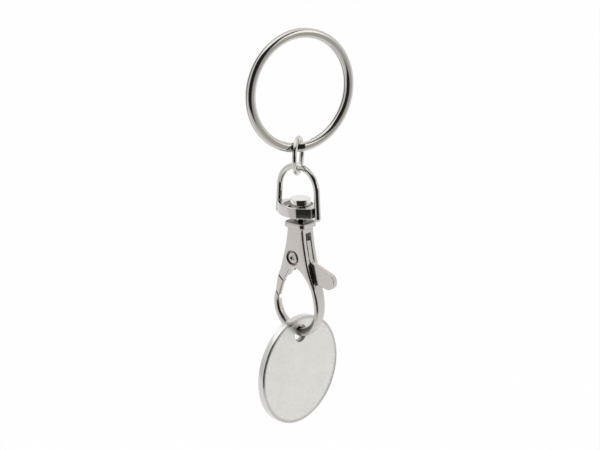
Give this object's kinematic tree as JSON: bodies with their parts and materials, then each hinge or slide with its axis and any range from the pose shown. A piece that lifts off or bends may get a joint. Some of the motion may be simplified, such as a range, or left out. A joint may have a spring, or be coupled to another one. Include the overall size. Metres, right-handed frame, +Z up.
{
  "type": "coin holder keyring",
  "caption": "Nickel-plated key ring with a swivelling trigger snap hook, whose eye carries a plain holed trolley token.",
  "frame": {"origin": "the top of the split ring's bore, where the ring hangs on a finger, hook or key", "axes": "+Z up along the hanging part, +X towards the clasp's thumb paddle, -Y towards the clasp's front cheek"},
  "size_m": [0.0159, 0.0244, 0.0835],
  "materials": {
    "split_ring": "bright nickel plate on flattened steel wire",
    "jump_ring": "bright nickel plate on steel wire",
    "swivel_bow": "bright nickel plate on steel wire",
    "swivel_bar": "nickel plate, satin",
    "hook_body": "nickel plate, satin, on a zinc casting",
    "thumb_lever": "nickel plate, satin, on a zinc casting",
    "pivot_rivet": "nickel plate",
    "lever_spring": "plain spring wire",
    "coin_token": "nickel plate on a steel blank"
  },
  "bodies": {
    "ring": {"split_ring": "split_ring"},
    "link": {"jump_ring": "jump_ring"},
    "bow": {"swivel_bow": "swivel_bow"},
    "bar": {"swivel_bar": "swivel_bar"},
    "clasp": {"hook_body": "hook_body", "pivot_rivet": "pivot_rivet", "lever_spring": "lever_spring"},
    "lever": {"thumb_lever": "thumb_lever"},
    "token": {"coin_token": "coin_token"}
  },
  "joints": [
    {"name": "link_swing", "type": "hinge", "parent": "ring", "child": "link", "pos_m": [-0.0006, 0, -0.02215], "axis": [0.2756, 0.9613, 0], "range_deg": [-60, 35]},
    {"name": "bow_swing", "type": "hinge", "parent": "link", "child": "bow", "pos_m": [-0.0006, 0, -0.02755], "axis": [-0.4848, 0.8746, 0], "range_deg": [-60, 60]},
    {"name": "bar_tilt", "type": "hinge", "parent": "bow", "child": "bar", "pos_m": [-0.0006, 0, -0.03558], "axis": [1, 0, 0], "range_deg": [-75, 75]},
    {"name": "clasp_swivel", "type": "hinge", "parent": "bar", "child": "clasp", "pos_m": [0, 0, -0.03748], "axis": [0, 0, 1], "continuous": true},
    {"name": "lever_press", "type": "hinge", "parent": "clasp", "child": "lever", "pos_m": [-0.0006, 0, -0.04523], "axis": [0, -1, 0], "range_deg": [0, 20], "stiffness_Nm_per_rad": 0.02, "springref_deg": -20.05, "deforming": ["lever_spring"]},
    {"name": "token_swing", "type": "hinge", "parent": "clasp", "child": "token", "pos_m": [-0.0006, 0, -0.06148], "axis": [1, 0, 0], "range_deg": [-90, 90]}
  ]
}
